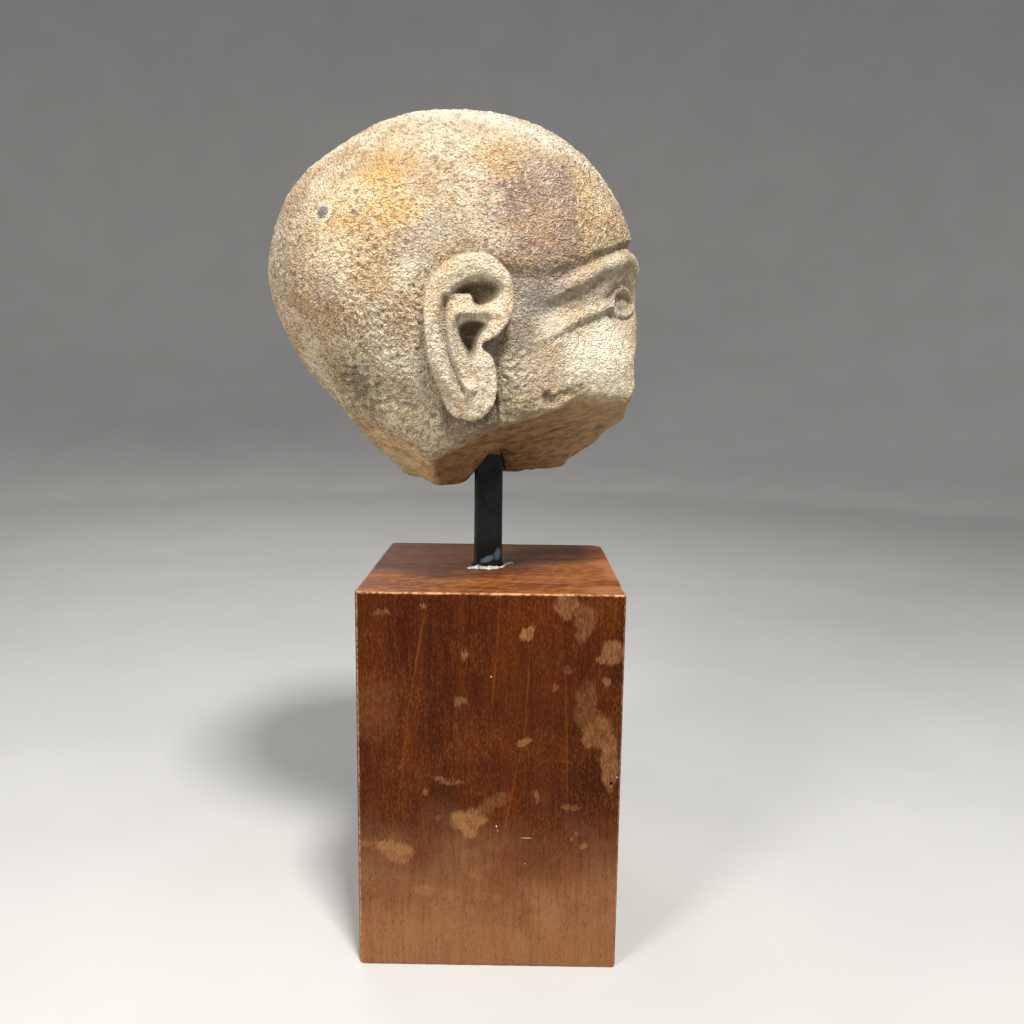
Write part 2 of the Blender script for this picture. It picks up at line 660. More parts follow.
def post_hole(low, high):
    """The square hole round the post, with its clearance, between two heights."""
    width = POST_HIGH.x - POST_LOW.x + 2 * CLEARANCE
    shape = bmesh.new()
    place = Matrix.Translation((POST_FOOT.x, POST_FOOT.y, (low + high) / 2))
    bmesh.ops.create_cube(shape, size=1.0, matrix=place @ Matrix.Diagonal((width, width, high - low, 1.0)))
    return shape


def build_head(material):
    steps = BALL_STEPS
    directions, quads = quad_ball(steps)
    directions = unit(directions + SHOWN_SIDE)
    radius, marks, rows = head_form(directions)
    places = directions * (radius * MM)[:, None] + np.array(HEAD_PLACE)
    head = mesh_object("carved_head", places.tolist(), quads.tolist(), material)
    for name, values in marks.items():
        add_attribute(head.data, name, "FLOAT", values)
    add_attribute(head.data, "rows", "FLOAT_VECTOR", rows)
    cut_away(head, post_hole(BLOCK_TOP, POST_HIGH.z + CLEARANCE))
    return head


def grid_lines(half, insets, cells):
    """Grid lines from one face to the other, close together near both."""
    near = [half - inset for inset in insets]
    middle = np.linspace(-near[-1], near[-1], cells + 1)[1:-1]
    return np.concatenate(([-line for line in near], middle, near[::-1]))


def box_grid(lines):
    """The six sides of a box as grids of quads that share their edges: points, and four corners a quad."""
    points, quads, count = [], [], 0
    for axis in range(3):
        first, second = np.meshgrid(lines[(axis + 1) % 3], lines[(axis + 2) % 3], indexing="ij")
        index = np.arange(first.size).reshape(first.shape)
        cells = np.stack((index[:-1, :-1], index[1:, :-1], index[1:, 1:], index[:-1, 1:]), -1).reshape(-1, 4)
        for side in (-1, 1):
            corner = np.empty((*first.shape, 3))
            corner[..., axis] = lines[axis][-1] * side
            corner[..., (axis + 1) % 3] = first
            corner[..., (axis + 2) % 3] = second * side
            quads.append(cells + count)
            points.append(corner.reshape(-1, 3))
            count += first.size
    return join_points(np.vstack(points), np.vstack(quads))


def rounded(points, half, upright_radii, edge_radius):
    """Points of a box's sides moved in to its rounded edges, and 1 on the edges, where wear shows."""
    table = np.array([[upright_radii[(x, y)] for y in (-1, 1)] for x in (-1, 1)])
    upright = table[(points[:, 0] > 0).astype(int), (points[:, 1] > 0).astype(int)]
    limit = half[:2] - upright[:, None]
    inner = np.clip(points[:, :2], -limit, limit)
    out = points[:, :2] - inner
    reach = np.abs(out).max(axis=1)
    far = np.maximum(np.linalg.norm(out, axis=1), TINY)
    side = np.clip(edge_radius - upright + reach, 0, None)
    end = np.clip(edge_radius - half[2] + np.abs(points[:, 2]), 0, None)
    share = edge_radius / np.maximum(np.hypot(side, end), edge_radius)
    moved = inner + out * ((reach + side * (share - 1)) / far)[:, None]
    height = points[:, 2] + np.sign(points[:, 2]) * end * (share - 1)
    at_face = reach >= upright - BARELY
    on_corner = ramp(np.abs(out).min(axis=1) / np.maximum(reach, TINY), *WORN_ROUND_CORNER) * at_face
    worn = np.maximum(ramp(np.minimum(side, end) / edge_radius, *WORN_ROUND_EDGE), on_corner)
    return np.column_stack((moved, height)), worn


def rounded_box(name, low, high, upright_radii, edge_radius, wear, insets, cells, material):
    """A box between two corners, its edges rounded by radii in millimetres that wear makes uneven."""
    half = np.array((high - low) / 2) / MM
    points, quads = box_grid([grid_lines(h, insets, c) for h, c in zip(half, cells)])
    uneven = as_share(grain(points / WEAR_LENGTHS[0] + WEAR_OFFSET) + grain(points / WEAR_LENGTHS[1]))
    points, worn = rounded(points, half, upright_radii, edge_radius + wear * uneven)
    places = points * MM + np.array((low + high) / 2)
    thing = mesh_object(name, places.tolist(), quads.tolist(), material)
    add_attribute(thing.data, "worn", "FLOAT", worn)
    return thing


def build_block(material):
    edges = (UPRIGHT_RADII, BLOCK_EDGE_RADIUS, BLOCK_EDGE_WEAR, EDGE_INSETS)
    block = rounded_box("stained_block", BLOCK_LOW, BLOCK_HIGH, *edges, BLOCK_CELLS, material)
    cut_away(block, post_hole(POST_LOW.z - CLEARANCE, BLOCK_TOP + CUTTER_OVERRUN))
    shape = bmesh.new()
    place = Matrix.Translation((NAIL_HOLE[0] * MM, BLOCK_FRONT, NAIL_HOLE[1] * MM))
    bmesh.ops.create_cone(
        shape,
        cap_ends=True,
        segments=12,
        radius1=NAIL_HOLE_RADIUS * MM,
        radius2=NAIL_HOLE_RADIUS * MM,
        depth=2 * NAIL_HOLE_DEPTH * MM,
        matrix=place @ Matrix.Rotation(math.pi / 2, 4, "X"),
    )
    cut_away(block, shape)
    return block


def build_post(material):
    corners = {corner: POST_CORNER_RADIUS for corner in UPRIGHT_RADII}
    edges = (corners, POST_EDGE_RADIUS, 0.0, POST_EDGE_INSETS)
    return rounded_box("painted_post", POST_LOW, POST_HIGH, *edges, POST_CELLS, material)


# Bead of glue along the front and right side of the post's foot: place, half width and height, in millimetres
GLUE_PATH = (
    (-11.4, -6.2, 0.2, 0.05), (-9.6, -6.4, 1.2, 0.45), (-7.6, -5.7, 1.9, 0.7), (-5.2, -5.8, 2.1, 0.8),
    (-2.6, -6.3, 2.4, 0.9), (-0.2, -6, 2, 0.85), (2.2, -5, 1, 0.6), (3.8, -3.6, 0.8, 0.5),
    (4.3, -1.2, 0.6, 0.55), (4.8, 1.4, 0.55, 0.4), (6.2, 3.6, 0.8, 0.6), (7.6, 4.6, 0.7, 0.5),
    (8.6, 4.9, 0.1, 0.05),
)
GLUE_SIDES = 12
GLUE_SUNK = 0.15
GLUE_SHAKE = (0.25, 0.2)
GLUE_WAVES = ((3, 2, 2), 5)


def build_glue(material):
    """An uneven half-round bead that tapers away at both ends."""
    given = np.array(GLUE_PATH)
    line = smooth_path(given[:, :2])
    steps = np.linspace(0, len(given) - 1, len(line))
    shake = waves(line[:, [0, 1, 0]], *GLUE_WAVES)
    half_width, height = (
        np.interp(steps, np.arange(len(given)), sizes) * (1 + amount * shake)
        for sizes, amount in zip(given.T[2:], GLUE_SHAKE)
    )
    run = np.gradient(line, axis=0)
    across = unit(np.column_stack((-run[:, 1], run[:, 0])))
    points = []
    for place, side, width, top in zip(line, across, half_width, height):
        for corner in range(GLUE_SIDES):
            turn = 2 * math.pi * corner / GLUE_SIDES
            out = place + side * width * math.cos(turn)
            up = (top if math.sin(turn) > 0 else GLUE_SUNK) * math.sin(turn)
            points.append((out[0] * MM, out[1] * MM, BLOCK_TOP + up * MM))
    faces = ring_quads(len(line), GLUE_SIDES)
    faces.append(list(reversed(range(GLUE_SIDES))))
    faces.append(list(range(len(points) - GLUE_SIDES, len(points))))
    return mesh_object("glue_trace", points, faces, material)


class Graph:
    """A material's nodes, with short ways to add and join them. Bands are given in levels of noise."""

    def __init__(self, name, roughness, specular):
        self.material = bpy.data.materials.new(name)
        self.material.use_nodes = True
        self.tree = self.material.node_tree
        self.shader = self.tree.nodes["Principled BSDF"]
        self.shader.inputs["Roughness"].default_value = roughness
        self.shader.inputs["Specular IOR Level"].default_value = specular
        self.place = self.add("TexCoord").outputs["Object"]

    def add(self, kind, inputs=(), **settings):
        node = self.tree.nodes.new("ShaderNode" + kind)
        for name, value in settings.items():
            setattr(node, name, value)
        for key, value in dict(inputs).items():
            if isinstance(value, bpy.types.NodeSocket):
                self.tree.links.new(value, node.inputs[key])
            else:
                node.inputs[key].default_value = value
        return node

    def attribute(self, name, vector=False):
        return self.add("Attribute", attribute_name=name).outputs["Vector" if vector else "Fac"]

    def math(self, operation, first, second=0.0):
        return self.add("Math", {0: first, 1: second}, operation=operation).outputs[0]

    def times(self, first, second):
        return self.math("MULTIPLY", first, second)

    def most(self, first, second):
        return self.math("MAXIMUM", first, second)

    def weighted(self, *parts):
        """The sum of some values, each times its share."""
        total = 0.0
        for value, share in parts:
            inputs = {0: value, 1: share, 2: total}
            total = self.add("Math", inputs, operation="MULTIPLY_ADD").outputs[0]
        return total

    def band(self, value, low, high, start=0.0, end=1.0):
        """A value between low and high turned smoothly into one between start and end."""
        inputs = {"Value": value, "From Min": low, "From Max": high, "To Min": start, "To Max": end}
        return self.add("MapRange", inputs, interpolation_type="SMOOTHSTEP").outputs["Result"]

    def noise(self, scale, detail, roughness=0.5, place=None):
        """Cloudy noise between 0 and 1, at this place or another, with its scale in marks per unit."""
        inputs = {"Vector": place or self.place, "Scale": scale, "Detail": detail, "Roughness": roughness}
        return self.add("TexNoise", inputs).outputs["Fac"]

    def local(self, place, centre=(0, 0, 0), size=(1, 1, 1), turn=(0, 0, 0)):
        """The place from a centre, turned, in units of the size."""
        inputs = {"Vector": place, "Location": centre, "Rotation": turn, "Scale": size}
        return self.add("Mapping", inputs, vector_type="TEXTURE").outputs["Vector"]

    def marks(self, size, detail, roughness, turn=(0, 0, 0)):
        """Noise whose marks have a given size in metres along each axis, once turned."""
        return self.noise(1.0, detail, roughness, self.local(self.place, size=size, turn=turn))

    def shaken(self, place, scale, amount, source=None):
        """The place moved a little by noise, so that what is drawn there has uneven edges."""
        inputs = {"Vector": source or place, "Scale": scale, "Detail": 3.0}
        moved = self.add("TexNoise", inputs).outputs["Color"]
        inputs = {0: moved, 1: (0.5,) * 3}
        centred = self.add("VectorMath", inputs, operation="SUBTRACT").outputs[0]
        inputs = {0: centred, 1: amount if isinstance(amount, tuple) else (amount,) * 3, 2: place}
        return self.add("VectorMath", inputs, operation="MULTIPLY_ADD").outputs[0]

    def spots(self, place, spots, soft):
        """The strongest of several soft-edged oval spots: centre, half sizes, turn and strength."""
        total = None
        for *space, strength in spots:
            local = self.local(place, *space)
            far = self.add("VectorMath", {0: local}, operation="LENGTH").outputs["Value"]
            spot = self.band(far, 1 - soft, 1 + soft, strength, 0.0)
            total = spot if total is None else self.most(total, spot)
        return total

    def mix(self, share, first, second):
        """A colour between two."""
        colours = [(*c, 1.0) if isinstance(c, tuple) else c for c in (first, second)]
        inputs = {0: share, 6: colours[0], 7: colours[1]}
        return self.add("Mix", inputs, data_type="RGBA").outputs[2]

    def layered(self, colour, *layers):
        """A colour with others laid over it in turn, each by its share."""
        for share, tint in layers:
            colour = self.mix(share, colour, tint)
        return colour

    def bump(self, height, distance, strength=1.0):
        inputs = {"Height": height, "Distance": distance, "Strength": strength}
        self.tree.links.new(self.add("Bump", inputs).outputs[0], self.shader.inputs["Normal"])

    def finish(self, colour, roughness=None):
        self.tree.links.new(colour, self.shader.inputs["Base Color"])
        if roughness is not None:
            self.tree.links.new(roughness, self.shader.inputs["Roughness"])
        return self.material


def on_head(spots):
    """Round spots in millimetres from the head's centre, as the shader takes them."""
    return [
        (HEAD_PLACE + Vector(centre) * MM, (radius * MM,) * 3, (0, 0, 0), strength)
        for *centre, radius, strength in spots
    ]


# Coloured patches of the stone: centre from the head's centre, radius, and strength
OCHRE_PATCHES = (
    (-22.8, -48.1, 43.1, 11, 0.95), (-19.5, -55.8, 26.6, 9, 0.9), (-38.1, -50.9, 25.9, 13, 0.7),
    (-49.6, -47.5, 15.7, 14, 0.35), (-30, -50, 10, 14, 0.25), (-56.5, -39.2, -9.8, 16, 0.4),
    (-42, -47, -10, 14, 0.3), (19.7, -50.7, 41.4, 5, 0.6), (17.6, -47.3, 48.7, 6, 0.5),
    (48.7, -38, 39.5, 6, 0.6), (50, -40.5, 29, 4.5, 0.5), (50.5, -41, 20, 3.5, 0.4), (2, -62, 10, 8, 0.35),
    (-6, -62, -2, 8, 0.25), (46.5, -44.1, -36.1, 8, 0.6), (57.3, -29.1, -40.7, 9, 0.5),
    (-15, 52, 30, 20, 0.4), (20, 50, 20, 14, 0.35), (-62, 10, 30, 18, 0.35),
)
MAUVE_PATCHES = (
    (34.1, -50.9, 29.4, 18.5, 0.9), (34, -52, 12, 14, 0.95), (-61, -30, 26, 13, 0.4), (-59, -35, 9, 13, 0.4),
    (-64, 0, 2, 16, 0.3), (34, 48, 34, 12, 0.4), (30, -52, -34, 12, 0.25),
)
GREY_PATCHES = (
    (-9.2, -59.1, 18.4, 10, 0.75), (-44.7, -50.7, 0, 6, 0.6), (29.6, -53.3, -3.1, 12, 0.7),
    (24, -55, -14, 11, 0.6), (-2, -56, -32, 12, 0.4), (25, -54, -8, 11, 0.6), (4, -64, 8, 15, 0.62),
    (2, -63, -24, 16, 0.62), (22, 54, -6, 12, 0.5),
)
DARK_SPOTS = (
    (-45.9, -46.7, 27.6, 2.6, 0.9), (-36, -48.1, 35.1, 1.1, 0.75), (-33.6, -52.2, 27, 1, 0.8),
    (-36.7, -49.6, 31.2, 0.9, 0.7), (-49.6, -47.5, 15.7, 1.1, 0.8), (-55.1, -43.4, 18.4, 1.5, 0.75),
    (19.1, -52.6, 36.5, 1.5, 0.75), (-52, -44, 24, 1, 0.65), (-30, 50, 34, 1.8, 0.6),
)
PALE_SPOTS = (
    (-45.9, -46.7, 27.6, 4.2, 0.7), (40, -47, -40.5, 1.8, 0.85), (-2, -59, -22, 6, 0.3),
    (2, -18, 72, 23, 0.65), (32, -22, 62, 18, 0.5), (58, -32, -28, 20, 0.4),
)

CREAM = (0.81, 0.70, 0.51)
BEIGE = (0.60, 0.44, 0.275)
OCHRE = (0.74, 0.46, 0.18)
MAUVE = (0.33, 0.236, 0.195)
STONE_GREY = (0.46, 0.405, 0.32)
TEMPLE_GREY = (0.28, 0.26, 0.225)
RECESS_GREY = (0.14, 0.098, 0.066)
PIT_BROWN = (0.12, 0.075, 0.036)
HOLLOW_BROWN = (0.19, 0.118, 0.055)
SPOT_GREY = (0.13, 0.13, 0.135)
PALE = (0.92, 0.86, 0.72)
NAPE_TAN = (0.51, 0.35, 0.175)
NAPE_BROWN = (0.33, 0.21, 0.096)
UNDER_BROWN = (0.34, 0.188, 0.076)
UNDER_DARK = (0.15, 0.077, 0.030)
FRINGE = (0.50, 0.37, 0.17)

# Fine marks of the stone, in marks per metre, and the size of its beds
PECKS_PER_METRE = 480
GRIT_PER_METRE = 1700
GRAINS_PER_METRE = 1150
BLOTCHES_PER_METRE = 60
MOTTLES_PER_METRE = 230
DRIFTS_PER_METRE = 34
BED_SIZE = (0.010, 0.010, 0.0014)
STONE_BUMP = 0.0072


def stone_material():
    g = Graph("sandstone", 0.92, 0.2)
    coarse, broken = g.attribute("coarse"), g.attribute("broken")
    row_pecks = g.noise(0.6, 4, 0.8, g.attribute("rows", vector=True))
    plain_pecks = g.noise(PECKS_PER_METRE, 4, 0.8)
    pecks = {0: g.attribute("in_rows"), 2: plain_pecks, 3: row_pecks}
    pecks = g.add("Mix", pecks, data_type="FLOAT").outputs[0]
    grit = g.noise(GRIT_PER_METRE, 2, 0.6)
    barely_shaken = g.shaken(g.place, 900, 0.0012)
    grains = g.add("TexVoronoi", {"Vector": barely_shaken, "Scale": GRAINS_PER_METRE})
    gritty = g.band(grains.outputs["Distance"], 0.15, 0.80, 0.66, 0.30)
    pecked = g.weighted((pecks, 0.72), (gritty, 0.28))
    blotch = g.noise(BLOTCHES_PER_METRE, 4, 0.6)
    mottle = g.noise(MOTTLES_PER_METRE, 3, 0.6)
    drift = g.band(g.noise(DRIFTS_PER_METRE, 3, 0.55), 0.50, 0.72, 0, 0.28)
    shaken = g.shaken(g.shaken(g.place, 110, 0.014), 500, 0.003)
    mauve = g.times(g.spots(shaken, on_head(MAUVE_PATCHES), 0.45), g.band(mottle, 0.30, 0.55, 0.75, 1.1))
    ochre = g.most(g.spots(shaken, on_head(OCHRE_PATCHES), 0.75), drift)
    beds = g.marks(BED_SIZE, 3, 0.6, turn=(0, BEDDING_TILT, 0))
    bedded = g.weighted((beds, 0.5), (mottle, 0.5))
    under = g.mix(g.band(bedded, 0.38, 0.58), UNDER_DARK, UNDER_BROWN)
    nape = g.mix(g.band(bedded, 0.36, 0.56), NAPE_BROWN, NAPE_TAN)
    colour = g.layered(
        g.mix(g.band(blotch, 0.40, 0.62), BEIGE, CREAM),
        (g.spots(shaken, on_head(GREY_PATCHES), 0.6), STONE_GREY),
        (mauve, MAUVE),
        (g.times(ochre, g.band(mottle, 0.35, 0.62, 0.6, 1.15)), OCHRE),
        (g.attribute("grey"), TEMPLE_GREY),
        (g.times(g.attribute("recess"), 0.9), RECESS_GREY),
        (g.spots(barely_shaken, on_head(PALE_SPOTS), 0.3), PALE),
        (g.spots(barely_shaken, on_head(DARK_SPOTS), 0.3), SPOT_GREY),
        (broken, g.mix(g.attribute("pale"), under, nape)),
        (g.times(g.attribute("yellow"), g.band(mottle, 0.35, 0.60, 0.15, 0.6)), FRINGE),
        (g.times(g.band(pecked, 0.50, 0.38), g.band(coarse, 0, 1.4, 0.10, 0.72)), HOLLOW_BROWN),
        (g.times(g.band(pecked, 0.51, 0.62), g.band(broken, 0, 1, 0.42, 0.04)), PALE),
        (g.times(g.attribute("dark"), g.band(blotch, 0.30, 0.60, 0.75, 0.95)), PIT_BROWN),
    )
    lumps = g.weighted((pecks, 0.5), (gritty, 0.38), (grit, 0.12))
    height = g.times(lumps, g.band(coarse, 0, 1.4, 0.25, 1.3))
    g.bump(g.weighted((height, 1), (g.times(beds, broken), 0.15)), STONE_BUMP)
    return g.finish(colour)


# Splashes on the block's front, and streaks in its grain, in millimetres: middle, half width and height,
# strength, and lean in degrees. The marks on its top and on the post are given in the same way
SPLASHES = (
    (36.4, 109.2, 4.2, 9, 0.28, 8), (42.3, 98.8, 5, 7, 0.45, -14), (46.2, 87, 3.2, 12, 0.65, -4),
    (37.3, 96.4, 2.2, 4.2, 0.5, -15), (28.4, 148, 5, 4, 0.5, 0), (29, 144.6, 1.6, 3, 0.5, 0),
    (35.6, 141.9, 4, 7, 0.4, 0), (34.1, 136.2, 2.2, 2.6, 0.4, 0), (46.4, 130.1, 4, 4.5, 0.6, 0),
    (42.1, 127.2, 2, 1.6, 0.5, 0), (44.5, 118.8, 1.6, 1.6, 0.5, 0), (29.4, 123, 1.6, 1.6, 0.25, 0),
    (25.2, 115.4, 1.2, 1.2, 0.3, 0), (13.7, 136.7, 2.3, 2.6, 0.8, 0), (-9.3, 128.1, 0.9, 1.2, 0.6, 0),
    (-10.9, 109.1, 2.6, 2, 0.45, 0), (-24.2, 146.7, 1.5, 1, 0.5, 0), (-40.1, 143.6, 3.5, 1.2, 0.35, 0),
    (-43.3, 105.7, 9, 13, 0.14, 0), (13.6, 94.2, 2.8, 1.6, 0.7, -35), (-33.9, 83.4, 0.9, 0.9, 0.4, 0),
    (-15.9, 77.4, 6, 1.2, 0.45, 8), (-24.4, 72.8, 0.9, 1.4, 0.5, 0), (18.9, 71.7, 1.3, 2.3, 0.5, 0),
    (31.8, 67.5, 3.8, 1.1, 0.45, 0), (-7.4, 61.8, 6.6, 4.4, 0.9, 0), (-7.2, 57.8, 3, 3.4, 0.85, 0),
    (1.5, 68.5, 7, 2.6, 0.28, -35), (-19.3, 62.1, 1.4, 1.2, 0.3, 0), (-34.2, 47.6, 5.4, 4.2, 0.95, 0),
    (-38.8, 49.8, 4.4, 2.4, 0.85, 10), (-45, 51.2, 5.4, 1.3, 0.65, 3), (37.3, 51.8, 1.3, 1.7, 0.7, 0),
    (34.3, 56.8, 0.7, 0.7, 0.6, 0), (33, 55, 0.6, 0.6, 0.6, 0), (-4.9, 39.7, 2.4, 2.9, 0.5, 0),
    (-24.4, 31.9, 4, 2.6, 0.5, 0), (-14.1, 30.4, 3.5, 1.2, 0.45, 0), (-0.2, 29.8, 6, 1.1, 0.45, 0),
    (-6.5, 24.1, 1.4, 2, 0.35, 0), (-29.1, 12.4, 4.5, 7, 0.6, 0), (12.8, 8, 4, 6.5, 0.65, 0),
    (23, 19.6, 5.5, 5, 0.5, 0),
)
GRAIN_STREAKS = (
    (-27.9, 123.7, 0.35, 20, 0.5, 9.9), (14.6, 114.5, 0.3, 21, 0.4, 4.3), (9, 71.3, 0.35, 27, 0.45, 9.7),
    (2.3, 126.4, 0.35, 21, 0.4, 4.1), (1, 34, 0.45, 18, 0.4, 9), (-33, 84, 0.45, 20, 0.3, 6),
    (30, 90, 0.4, 30, 0.3, -2),
)
FLECKS = (
    (0.7, 119.7, 0.22, 0.28, 0.7, 0), (3.3, 59.4, 0.22, 0.4, 0.7, -20), (3.8, 57.6, 0.18, 0.22, 0.6, 0),
    (15, 54.7, 2.1, 0.12, 0.5, 0), (49.5, 80.2, 0.35, 0.3, 0.35, 0), (14.6, 44, 0.2, 0.2, 0.5, 0),
)
TOP_WEAR = (
    (45.4, -43.4, 9, 7, 0.6, 0), (49.9, -11.8, 3.6, 16, 0.5, 0), (48, 6, 4, 10, 0.5, 0),
    (-15.2, -14.9, 3.2, 2.6, 0.5, 0), (24.9, -3.9, 1, 0.6, 0.8, 0),
)
TOP_SHADE = (
    (46, 34, 14, 12, 0.6, 0), (-49.6, -0.6, 2.6, 12, 0.5, 0), (-48.9, -34.2, 2.4, 9, 0.4, 0),
)
MARK_DEPTH = 0.03
WOOD_DARK = (0.025, 0.0042, 0.0004)
WOOD_RED = (0.055, 0.0110, 0.0009)
WOOD_TOP_DARK = (0.070, 0.0155, 0.0022)
WOOD_TOP_LIGHT = (0.205, 0.066, 0.011)
WOOD_TOP_SHADE = (0.085, 0.026, 0.012)
WOOD_WORN = (0.235, 0.106, 0.046)
WOOD_STAIN = (0.205, 0.096, 0.036)
WOOD_STREAK = (0.150, 0.044, 0.005)
WOOD_RIM = (0.46, 0.25, 0.13)
FLECK = (0.75, 0.68, 0.58)

# Sizes of the wood's marks in metres, along x, y and z: on the sides, and on the top
FIBRES = (0.0012, 0.0012, 0.020)
FIGURE = (0.013, 0.013, 0.12)
DASHES = (0.00045, 0.00045, 0.0017)
THIN_STREAKS = (0.0006, 0.0006, 0.004)
TOP_FIBRES = (0.020, 0.0012, 0.02)
TOP_FIGURE = (0.06, 0.009, 0.06)
TOP_DASHES = (0.0045, 0.0015, 0.0045)
WORN_BELOW = (0.074, 0.010)
WOOD_BUMP = 0.0002


def flat_marks(marks, across, level, depth):
    """Marks on a flat face across y (1) or z (2), at a level in metres, as the shader takes them."""
    spots = []
    for x, other, width, height, strength, lean in marks:
        space = [x * MM, other * MM], [width * MM, height * MM], [0, 0]
        for values, value in zip(space, (level, depth, math.radians(lean))):
            values.insert(across, value)
        spots.append((*space, strength))
    return spots


def on_front(marks):
    return flat_marks(marks, 1, BLOCK_FRONT, MARK_DEPTH)


def on_top(marks):
    return flat_marks(marks, 2, BLOCK_TOP, MARK_DEPTH)


def wood_sides(g, fibres, dashes, cloud):
    """Colour of the block's upright sides, and where it is splashed and worn."""
    tone = g.weighted((fibres, 0.5), (g.marks(FIGURE, 3, 0.5), 0.5))
    height = g.add("SeparateXYZ", {0: g.place}).outputs["Z"]
    uneven_height = g.weighted((height, 1), (g.math("SUBTRACT", cloud, 0.5), 0.06))
    low = g.times(g.band(uneven_height, *WORN_BELOW, 0, 0.8), g.band(fibres, 0.34, 0.58, 0.85, 1.05))
    streaks = g.spots(g.shaken(g.place, 50, 0.0022), on_front(GRAIN_STREAKS), 0.7)
    thin = g.local(g.place, size=THIN_STREAKS)
    ragged = g.shaken(g.shaken(g.place, 190, 0.005), 1, (0.001, 0, 0.0045), thin)
    splashes = g.times(g.spots(ragged, on_front(SPLASHES), 0.24), g.band(dashes, 0.36, 0.58, 0.55, 1.05))
    splashes = g.times(splashes, g.band(g.noise(260, 3), 0.35, 0.55, 0.6, 1))
    side = g.layered(
        g.mix(g.band(tone, 0.38, 0.64), WOOD_DARK, WOOD_RED),
        (low, WOOD_WORN),
        (g.band(cloud, 0.48, 0.72, 0, 0.16), WOOD_STREAK),
        (g.times(g.band(dashes, 0.49, 0.66), g.band(cloud, 0.40, 0.62, 0.20, 0.46)), WOOD_STREAK),
        (g.band(dashes, 0.48, 0.30, 0, 0.5), WOOD_DARK),
        (g.times(streaks, g.band(fibres, 0.35, 0.6, 0.3, 1)), WOOD_STREAK),
        (splashes, WOOD_STAIN),
        (g.spots(g.place, on_front(FLECKS), 0.3), FLECK),
    )
    return side, g.most(splashes, low)


def wood_top(g):
    """Colour of the block's top, whose grain runs along x."""
    fibres = g.marks(TOP_FIBRES, 4, 0.65)
    figure = g.marks(TOP_FIGURE, 3, 0.5, turn=(0, 0, 0.12))
    dashes = g.marks(TOP_DASHES, 2, 0.7, turn=(0, 0, 0.25))
    tone = g.weighted((fibres, 0.5), (figure, 0.5))
    ragged = g.shaken(g.place, 260, 0.006)
    return g.layered(
        g.mix(g.band(tone, 0.36, 0.62), WOOD_TOP_DARK, WOOD_TOP_LIGHT),
        (g.band(dashes, 0.50, 0.68, 0, 0.6), WOOD_WORN),
        (g.band(dashes, 0.48, 0.32, 0, 0.7), WOOD_TOP_DARK),
        (g.spots(ragged, on_top(TOP_WEAR), 0.45), WOOD_WORN),
        (g.spots(ragged, on_top(TOP_SHADE), 0.6), WOOD_TOP_SHADE),
    )


def wood_material():
    g = Graph("stained_wood", 0.48, 0.08)
    up = g.add("SeparateXYZ", {0: g.add("NewGeometry").outputs["Normal"]}).outputs["Z"]
    facing_up = g.band(g.math("ABSOLUTE", up), 0.5, 0.85)
    fibres = g.marks(FIBRES, 4, 0.65)
    dashes = g.marks(DASHES, 2, 0.7)
    side, dull = wood_sides(g, fibres, dashes, g.noise(45, 4, 0.6))
    colour = g.mix(facing_up, side, wood_top(g))
    rim = g.times(g.attribute("worn"), g.band(g.noise(420, 4, 0.7), 0.38, 0.62, 0.08, 0.85))
    colour = g.mix(rim, colour, WOOD_RIM)
    g.bump(g.weighted((dashes, 0.6), (fibres, 0.4)), WOOD_BUMP, 0.6)
    return g.finish(colour, g.band(g.most(dull, rim), 0, 0.9, 0.38, 0.68))


PAINT_BLACK = (0.005, 0.005, 0.006)
SMEAR_BLUE = (0.12, 0.16, 0.22)
POST_SMEARS = (
    (-2.6, 155.4, 2.8, 1.2, 0.7, -22), (1.8, 157.8, 1.4, 2.4, 0.55, 15),
)
SMEAR_DEPTH = 0.003


def paint_material():
    g = Graph("black_paint", 0.22, 0.35)
    smears = flat_marks(POST_SMEARS, 1, POST_LOW.y, SMEAR_DEPTH)
    smear = g.spots(g.shaken(g.place, 700, 0.0014), smears, 0.4)
    dust = g.band(g.noise(1500, 3, 0.6), 0.62, 0.80, 0, 0.10)
    colour = g.mix(smear, PAINT_BLACK, SMEAR_BLUE)
    colour = g.mix(dust, colour, FLECK)
    roughness = g.band(g.most(smear, g.noise(160, 3)), 0.3, 0.8, 0.18, 0.5)
    g.bump(g.marks((0.002, 0.002, 0.008), 3, 0.5), 0.00015, 0.5)
    return g.finish(colour, roughness)


GLUE_WHITE = (0.90, 0.89, 0.87)
GLUE_GREY = (0.66, 0.64, 0.62)


def glue_material():
    g = Graph("dried_glue", 0.55, 0.4)
    mottle = g.noise(900, 3, 0.6)
    g.bump(mottle, 0.0003, 0.8)
    return g.finish(g.mix(g.band(mottle, 0.4, 0.62), GLUE_GREY, GLUE_WHITE))


# Floor and backdrop in one: a dish, flat round the part and rising far from it
DISH = ((0, 0), (1.2, 0), (1.5, 0.03), (1.8, 0.14), (2.05, 0.36), (2.2, 0.7), (2.25, 1.2), (2.25, 1.9))
DISH_SIDES = 96
FLOOR_COLOUR = (0.42, 0.42, 0.415)
FLOOR_GRIT = 0.02


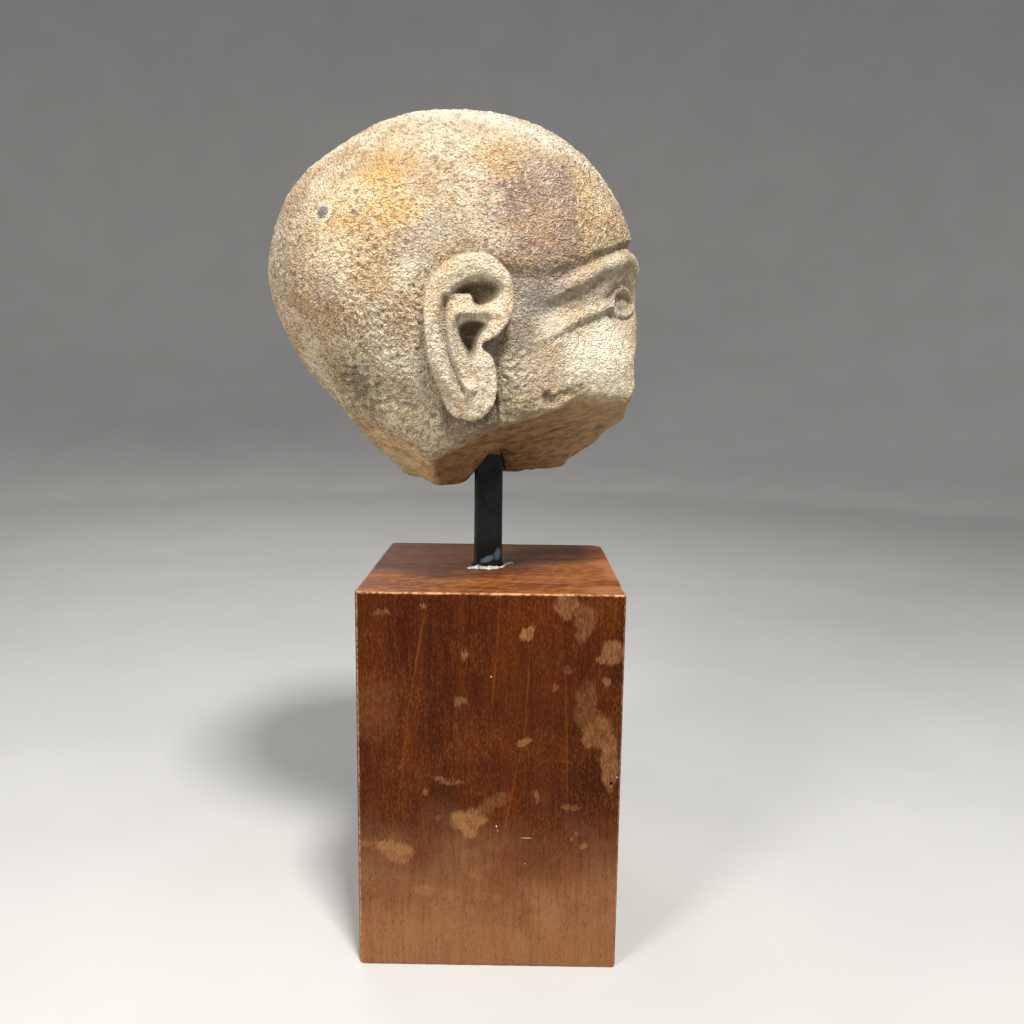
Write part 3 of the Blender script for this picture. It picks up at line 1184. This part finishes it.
def build_floor():
    g = Graph("pale_floor", 0.75, 0.2)
    tone = g.band(g.noise(9, 3), 0.3, 0.7)
    material = g.finish(g.mix(tone, FLOOR_COLOUR, tuple(c - FLOOR_GRIT for c in FLOOR_COLOUR)))
    turns = -2 * math.pi * np.arange(DISH_SIDES) / DISH_SIDES
    line = smooth_path(DISH)[1:]
    points = [(0.0, 0.0, 0.0)]
    for radius, height in line:
        points += [(radius * math.cos(turn), radius * math.sin(turn), max(height, 0.0)) for turn in turns]
    faces = [(0, 1 + (i + 1) % DISH_SIDES, 1 + i) for i in range(DISH_SIDES)]
    faces += ring_quads(len(line), DISH_SIDES, first=1)
    floor = mesh_object("pale_floor", points, faces, material)


# Studio lights: name, place, what they look at, side in metres, watts, and colour
LIGHTS = (
    ("key", (0.14, -0.45, 0.98), (-0.01, 0.0, 0.26), 0.16, 17.6, (1.0, 0.97, 0.92)),
    ("left_key", (-0.48, -0.62, 0.66), (-0.01, 0.0, 0.24), 0.20, 5.8, (1.0, 0.97, 0.93)),
    ("front_fill", (-1.05, -0.80, 0.42), (0.0, 0.0, 0.24), 0.6, 6.8, (1.0, 0.97, 0.94)),
    ("face_fill", (1.05, -0.75, 0.55), (0.0, 0.0, 0.24), 0.7, 3.4, (1.0, 0.98, 0.96)),
    ("back_light", (-0.5, 1.1, 1.0), (0.0, 0.0, 0.22), 0.7, 6.0, (1.0, 0.99, 0.97)),
)
WORLD_LIGHT = 0.22
WORLD_COLOUR = (0.93, 0.95, 1.0, 1.0)


def build_lights():
    for name, place, target, side, watts, colour in LIGHTS:
        light = bpy.data.lights.new(name, "AREA")
        light.size = side
        light.energy = watts
        light.color = colour
        lamp = new_object(name, light)
        lamp.location = place
        lamp.rotation_euler = (Vector(target) - Vector(place)).to_track_quat("-Z", "Y").to_euler()
        lamp.visible_camera = False
    world = bpy.data.worlds.new("soft_room")
    world.use_nodes = True
    background = world.node_tree.nodes["Background"]
    background.inputs["Color"].default_value = WORLD_COLOUR
    background.inputs["Strength"].default_value = WORLD_LIGHT
    bpy.context.scene.world = world


def build_camera():
    turn = Matrix.Rotation(-CAMERA_YAW, 4, "Z") @ Matrix.Rotation(math.pi / 2 - CAMERA_PITCH, 4, "X")
    data = bpy.data.cameras.new("photo_camera")
    data.sensor_width = SENSOR_WIDTH
    data.lens = FOCAL_PIXELS / PHOTO_PIXELS * SENSOR_WIDTH
    data.clip_start = 0.01
    camera = new_object("photo_camera", data)
    camera.matrix_world = Matrix.Translation(CAMERA_PLACE) @ turn @ Matrix.Rotation(CAMERA_ROLL, 4, "Z")
    bpy.context.scene.camera = camera


def main():
    bpy.context.scene.view_settings.view_transform = "Standard"
    build_camera()
    build_floor()
    build_lights()
    head = build_head(stone_material())
    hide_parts("stone_head")
    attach(head, "root")
    block = build_block(wood_material())
    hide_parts("wooden_base")
    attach(block, "root")
    post = build_post(paint_material())
    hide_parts("mount_post")
    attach(post, "root")
    glue = build_glue(glue_material())
    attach(glue, "root")


main()
